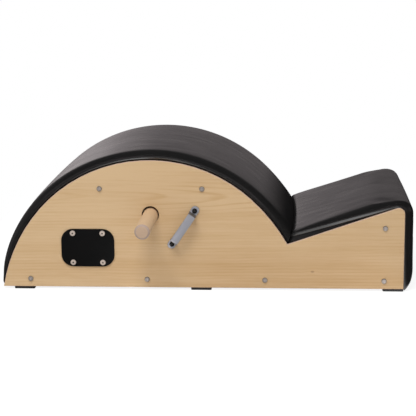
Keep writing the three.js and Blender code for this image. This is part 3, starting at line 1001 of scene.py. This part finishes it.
def plate_finish():
    finish = Finish("matte_black_plastic")
    place = finish.place()
    stipple = finish.noise(place, stipple_grains)
    clouds = finish.noise(place, plate_cloud_grains)
    return finish.surface(
        Base_Color=finish.mix(clouds * 0.5, plate_dark, plate_light),
        Roughness=0.5 + stipple * 0.14,
        Normal=finish.bump(stipple, 0.00003, 0.5),
        IOR=1.22,
    )


plate.data.materials.append(plate_finish())
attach(plate, "frame")
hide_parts("name_plate")

nickel = metal("pale_nickel", (0.74, 0.63, 0.55, 1), 0.42, 0.3)
place_copies(
    screw("plate_screw", nickel, head=(0.0066, 0.0022), shank=(0.002, 0.014), hex_size=0.0035)
)


# Strip handles
# Flat steel bar bent into a bridge with a foot at each end, satin plated, one on each panel and
# held by a black screw through each foot.

handle_spacing = 0.096
handle_width = 0.0188
handle_thickness = 0.0028
handle_stand_off = 0.025
handle_foot_reach = 0.011
handle_leg_inset = 0.0095
handle_leg_lean = 0.001
handle_bend_radius = 0.004
handle_tilt = radians(55.8)
handle_edge = 0.0005
handle_edge_steps = 2
handle_edge_angle = radians(50)
handle_end_share = 0.46
handle_end_steps = 8
handle_light = (0.5, 0.505, 0.56, 1)
handle_dark = (0.43, 0.435, 0.48, 1)
# Painted shade for the handle's legs, which face away from y
handle_painted_shade = (0.16, 0.15, 0.145, 1)
bend_steps = 8
handle_brushed_grains = (40, 2600, 400)
smudge_grains = (60,) * 3
leg_turn = (0.3, 0.9)


def strip_handle():
    """A handle lying along x with its feet on the plane z = 0."""
    rise = handle_stand_off - clearance - handle_thickness
    turn = atan2(rise, handle_leg_lean)
    setback = handle_bend_radius * tan(turn / 2)
    end = handle_spacing / 2 + handle_foot_reach
    leg_foot = handle_spacing / 2 - handle_leg_inset + handle_leg_lean / 2
    leg_length = hypot(rise, handle_leg_lean) - 2 * setback
    middle = handle_thickness / 2
    place = Vector((-end, 0, middle))
    upright = {"location": place, "rotation": (0, pi / 2, 0)}
    scale = (handle_thickness, handle_width, 1)
    bar = begin("handle_bar", edit.primitive_plane_add, scale, size=1, **upright)
    pick_faces(bar, lambda centre, normal: True)
    way = 0.0
    straights = [end - leg_foot - setback, leg_length, 2 * (leg_foot - handle_leg_lean - setback)]
    straights += [leg_length, end - leg_foot - setback]
    for straight, bend in zip(straights, (turn, -turn, -turn, turn, 0)):
        ahead = Vector((cos(way), 0, sin(way)))
        extrude(ahead * straight)
        place += ahead * straight
        if bend:
            side = copysign(1, bend)
            centre = place + side * handle_bend_radius * Vector((-ahead.z, 0, ahead.x))
            edit.spin(steps=bend_steps, angle=bend, center=centre, axis=(0, 1, 0))
            place = centre + Matrix.Rotation(-bend, 3, "Y") @ (place - centre)
            way += bend
    edit.select_all(action="SELECT")
    edit.remove_doubles(threshold=merge_distance)
    edit.normals_make_consistent(inside=False)
    bpy.ops.object.mode_set(mode="OBJECT")
    bevel_edges(
        bar,
        lambda way, at: abs(way.z) > mostly and abs(at.x) > end - hair,
        handle_width * handle_end_share,
        handle_end_steps,
    )
    eased = bar.modifiers.new("eased", "BEVEL")
    eased.width = handle_edge
    eased.segments = handle_edge_steps
    eased.limit_method = "ANGLE"
    eased.angle_limit = handle_edge_angle
    bpy.ops.object.modifier_apply(modifier=eased.name)
    smooth(smooth_angle)
    return bar


def handle_finish():
    finish = Finish("satin_plated_steel")
    place = finish.place()
    x, y, z = place
    lengthways = x * cos(handle_tilt) + z * sin(handle_tilt)
    crossways = z * cos(handle_tilt) - x * sin(handle_tilt)
    brushed = finish.noise((lengthways, crossways, y), handle_brushed_grains)
    smudges = finish.noise(place, smudge_grains)
    # Painted shade darkens the legs, which face away from y
    painted_leg_shade = 1 - finish.step(finish.facing_out(), *leg_turn)
    face = finish.mix(smudges * 0.5, handle_light, handle_dark)
    return finish.surface(
        Base_Color=finish.mix(painted_leg_shade, face, handle_painted_shade),
        Metallic=0.45,
        Roughness=0.42 + (brushed - 0.5) * 0.14 + (smudges - 0.5) * 0.1,
        Normal=finish.bump(brushed, 0.00003, 0.4),
    )


steel = handle_finish()
black_zinc = metal("black_zinc", (0.035, 0.035, 0.038, 1), 0.22)
handle_pattern = strip_handle()
handle_screw = screw(
    "handle_screw", black_zinc, head=(0.006, 0.003), shank=(0.002, 0.015), hex_size=0.004
)
for side, outward in (("front", -1), ("back", 1)):
    node = f"strip_handle_{side}"
    low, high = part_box(node)
    foot_plane = high.y if outward < 0 else low.y
    place = Vector(((low.x + high.x) / 2, foot_plane, (low.z + high.z) / 2))
    tilt = -outward * handle_tilt
    handle = lay_copy(handle_pattern, f"bent_handle_{side}", place, outward, tilt)
    handle.data.materials.append(steel)
    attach(handle, "frame")
    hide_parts(node)
    for end in ("upper", "lower"):
        place_copy(handle_screw, f"handle_screw_{side}_{end}", handle_tilt)
bpy.data.objects.remove(handle_pattern)
bpy.data.objects.remove(handle_screw)


# Feet
# Six low blocks of black rubber with rounded corners, glued under the side panels' bottom edges,
# three to each panel.

foot_corner = 0.003
foot_corner_steps = 5
foot_rim = 0.0008
foot_rim_steps = 2
rubber_dark = (0.016, 0.0155, 0.016, 1)
rubber_light = (0.03, 0.029, 0.03, 1)
speckle_grains = (700,) * 3


def rubber_finish():
    finish = Finish("black_rubber")
    speckle = finish.noise(finish.place(), speckle_grains, 3)
    return finish.surface(
        Base_Color=finish.mix(speckle, rubber_dark, rubber_light),
        Roughness=0.72 + speckle * 0.15,
        Normal=finish.bump(speckle, 0.0002, 0.6),
    )


rubber = rubber_finish()
for name in sorted(name for name in nodes if name.startswith("foot_")):
    foot = block(name.replace("foot", "rubber_foot"), *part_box(name))
    bevel_edges(foot, lambda way, middle: abs(way.z) > mostly, foot_corner, foot_corner_steps)
    bevel_edges(foot, lambda way, middle: abs(way.z) < 1 - mostly, foot_rim, foot_rim_steps)
    smooth(smooth_angle)
    foot.data.materials.append(rubber)
    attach(foot, "frame")
    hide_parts(name)


# Grip pole
# A loose round bar of lacquered hardwood that lies in the oversize hole in each panel and sticks
# out on both sides, its ends chamfered and left as raw end grain.

pole_low, pole_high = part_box("grip_pole")
pole_radius = (pole_high.x - pole_low.x) / 2
pole_length = pole_high.y - pole_low.y
pole_sides = 96
pole_chamfer = 0.0045
pole_edge = 0.0006
pole_edge_steps = 2
pole_smooth_angle = radians(28)
pole_light = (0.62, 0.43, 0.265, 1)
pole_dark = (0.5, 0.325, 0.185, 1)
end_light = (0.57, 0.405, 0.285, 1)
end_dark = (0.38, 0.25, 0.165, 1)
# The chamfer is coloured a greyer pink than the end grain
chamfer_tone = (0.43, 0.325, 0.275, 1)
pole_ring = 0.0022
pole_early_share = 0.3
pole_pith = (-0.1, 0.19)
pole_sway_grains = (6, 2.5, 6)
pole_sway_depth = 0.02
pole_fibre_grains = (900, 12, 900)
pore_grains = (1500, 400, 1500)
side_ring_dark = 0.4
side_fibre_dark = 0.6
end_ring_dark = 0.5
end_pore_dark = 0.8
end_turn = (0.4, 0.6)
chamfer_turn = (0.8, 0.95)
chamfer_tone_share = 0.85


def runs_round(way, middle):
    return abs(way.y) < 1 - mostly


def round_the_end(way, middle):
    from_end = pole_length / 2 - abs(middle.y)
    return runs_round(way, middle) and from_end < pole_chamfer + pole_edge


pole = begin(
    "wooden_grip_pole",
    edit.primitive_cylinder_add,
    vertices=pole_sides,
    radius=pole_radius,
    depth=pole_length,
    location=(pole_low + pole_high) / 2,
    rotation=(pi / 2, 0, 0),
)
bevel_edges(pole, runs_round, pole_chamfer, 1)
bevel_edges(pole, round_the_end, pole_edge, pole_edge_steps)
smooth(pole_smooth_angle)


def pole_finish():
    finish = Finish("lacquered_hardwood")
    place = finish.place()
    x, y, z = place
    sway = finish.noise(place, pole_sway_grains) * pole_sway_depth
    radius = distance(x - pole_pith[0], z - pole_pith[1]) + sway
    rings = late_wood(finish, radius, pole_ring, pole_early_share)
    fibres = finish.noise(place, pole_fibre_grains, 3)
    dark = rings * side_ring_dark + (fibres - 0.5) * side_fibre_dark
    side = finish.mix(dark, pole_light, pole_dark)
    pores = finish.noise(place, pore_grains)
    dark = rings * end_ring_dark + (pores - 0.5) * end_pore_dark
    end = finish.mix(dark, end_light, end_dark)
    square = finish.facing_out()
    on_end = finish.step(square, *end_turn)
    on_chamfer = 1 - finish.step(square, *chamfer_turn)
    end = finish.mix(on_chamfer * chamfer_tone_share, end, chamfer_tone)
    return finish.surface(
        Base_Color=finish.mix(on_end, side, end),
        Roughness=0.4 + on_end * 0.25 + fibres * 0.06,
        Normal=finish.bump(fibres, 0.0001, 0.5),
    )


pole.data.materials.append(pole_finish())
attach(pole, "grip_pole")
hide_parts("grip_pole")


# Floor, light and camera
# A white studio floor that keeps a soft shadow and glows in painted bands where it is reflected,
# broad soft light from above and in front, and a dimmer room that the leather and the metal
# reflect.

floor_size = (1.3, 1.95, 1)
floor_middle = (0, -0.175, 0)
floor_glow = 1.15
floor_glow_share = 0.75
floor_paint = (0.86, 0.86, 0.86, 1)
white = (1, 1, 1, 1)
# Painted light: only reflections see these bands of glow across the floor, as bright as lamps in
# places, and only ahead of the object
floor_ahead = (0.1, 0.35)
floor_places = (0.1, 0.29, 0.32, 0.34, 0.361, 0.379, 0.401, 0.6, 0.68, 0.78, 0.87, 0.925, 0.955)
floor_levels = (0.08, 0.16, 0.65, 3.3, 2.6, 0.45, 0.1, 0.08, 0.6, 1.1, 2.3, 2.4, 0.05)
floor_painted_reflection = [
    (place, (level, level, level, 1)) for place, level in zip(floor_places, floor_levels)
]
floor_stretch = 0.9
fill_level = 0.5
backdrop = (
    (0.04, (0.1, 0.092, 0.093, 1)),
    (0.13, (0.3, 0.276, 0.278, 1)),
    (0.22, (0.78, 0.717, 0.722, 1)),
    (0.3, (0.36, 0.325, 0.33, 1)),
    (0.4, (0.22, 0.198, 0.202, 1)),
    (0.62, (0.19, 0.171, 0.173, 1)),
    (0.75, (0.14, 0.127, 0.128, 1)),
    (0.86, (0.02, 0.02, 0.02, 1)),
)
backdrop_top = (0.25, 0.6)
backdrop_foot = (-0.16, -0.05)
foot_dimming = 0.9
backdrop_begins = (-0.1, 0.3)
wall_begins = (0.7, 0.95)
wall_ends = (0.0, 0.35)
wall_share_aside = 0.7
wall_behind = (-0.9, -0.55)
wall_foot = (-0.1, 0.05)
wall_top = (0.3, 0.6)
dark_room = (0.03, 0.03, 0.03, 1)
far_walls = (0.32, 0.294, 0.297, 1)

floor = begin("studio_floor", edit.primitive_plane_add, floor_size, size=1, location=floor_middle)


def light_path(finish, *names):
    """1 for those rays and 0 for the others."""
    rays = [finish.node("ShaderNodeLightPath", output=name) for name in names]
    total = sum(rays[1:], rays[0])
    return total.math("MINIMUM", 1.0)


def floor_finish():
    finish = Finish("white_floor")
    paint = finish.node("ShaderNodeBsdfDiffuse", sockets={"Color": floor_paint})
    sockets = {"Color": white, "Strength": floor_glow}
    glow = finish.node("ShaderNodeEmission", sockets=sockets)
    sockets = {0: light_path(finish, "Is Camera Ray") * floor_glow_share, 1: paint, 2: glow}
    lit = finish.node("ShaderNodeMixShader", sockets=sockets)
    x, y, z = finish.place()
    ahead = 1 - finish.step(y, *floor_ahead)
    # Painted light: glossy rays see the floor glow in bands across x
    painted_reflection_pool = finish.node("ShaderNodeValToRGB", {"stops": floor_painted_reflection}, {0: x * floor_stretch + 0.5})
    seen = finish.node("ShaderNodeEmission", sockets={"Color": painted_reflection_pool, "Strength": ahead})
    mirrored = light_path(finish, "Is Glossy Ray", "Is Transmission Ray")
    mixed = finish.node("ShaderNodeMixShader", sockets={0: mirrored, 1: lit, 2: seen})
    output = finish.tree.nodes["Material Output"]
    finish.tree.links.new(mixed.output, output.inputs["Surface"])
    return finish.material


floor.data.materials.append(floor_finish())

world = bpy.data.worlds.new("studio_room")
bpy.context.scene.world = world
world.use_nodes = True


class Room(Finish):
    """The world's nodes, written as a finish's are."""

    def __init__(self, room):
        self.tree = room.node_tree
        self.tree.nodes.clear()


def light_room():
    room = Room(world)
    x, y, z = room.split(room.node("ShaderNodeTexCoord", output="Generated"))
    behind = room.node("ShaderNodeValToRGB", {"stops": backdrop}, {0: x + 0.5})
    low = 1 - room.step(z, *backdrop_top)
    below = 1 - room.step(z, *backdrop_foot)
    low = low * (1 - below * foot_dimming)
    reflected = room.mix(low * room.step(y, *backdrop_begins), dark_room, behind)
    aside = x.math("ABSOLUTE")
    walls = room.step(aside, *wall_begins) * (1 - room.step(y, *wall_ends)) * wall_share_aside
    walls = walls.math("MAXIMUM", 1 - room.step(y, *wall_behind))
    walls = walls * room.step(z, *wall_foot) * (1 - room.step(z, *wall_top))
    reflected = room.mix(walls, reflected, far_walls)
    mirrored = light_path(room, "Is Glossy Ray", "Is Transmission Ray")
    level = room.mix(mirrored, (fill_level, fill_level, fill_level, 1), reflected)
    level = room.mix(light_path(room, "Is Camera Ray"), level, white)
    light = room.node("ShaderNodeBackground", sockets={"Color": level})
    output = room.tree.nodes.new("ShaderNodeOutputWorld")
    room.tree.links.new(light.output, output.inputs["Surface"])


light_room()


def softbox(name, place, target, size, power):
    lamp = bpy.data.lights.new(name, "AREA")
    lamp.shape = "RECTANGLE"
    lamp.size, lamp.size_y = size
    lamp.energy = power
    box = bpy.data.objects.new(name, lamp)
    bpy.context.collection.objects.link(box)
    box.location = place
    box.rotation_euler = (Vector(target) - Vector(place)).to_track_quat("-Z", "Y").to_euler()
    box.visible_glossy = False


softbox(
    "key_light", place=(-0.35, -1.5, 2.6), target=(-0.1, -0.1, 0.15), size=(1.6, 1.2), power=50
)
softbox("back_light", place=(-1.6, 2.2, 1.5), target=(0, 0, 0.2), size=(2.0, 1.4), power=12)

camera_place = (0.1936, -3.1286, 0.8048)
camera_heading = radians(3.681)
camera_pitch = radians(11.799)
camera_roll = radians(-0.49)
camera_lens = 110.93
camera_film_width = 36
lens = bpy.data.cameras.new("photo_camera")
lens.lens = camera_lens
lens.sensor_width = camera_film_width
camera = bpy.data.objects.new("photo_camera", lens)
bpy.context.collection.objects.link(camera)
camera.matrix_world = (
    Matrix.Translation(camera_place)
    @ Matrix.Rotation(camera_heading, 4, "Z")
    @ Matrix.Rotation(pi / 2 - camera_pitch, 4, "X")
    @ Matrix.Rotation(camera_roll, 4, "Z")
)
bpy.context.scene.camera = camera
bpy.context.scene.view_settings.view_transform = "Standard"
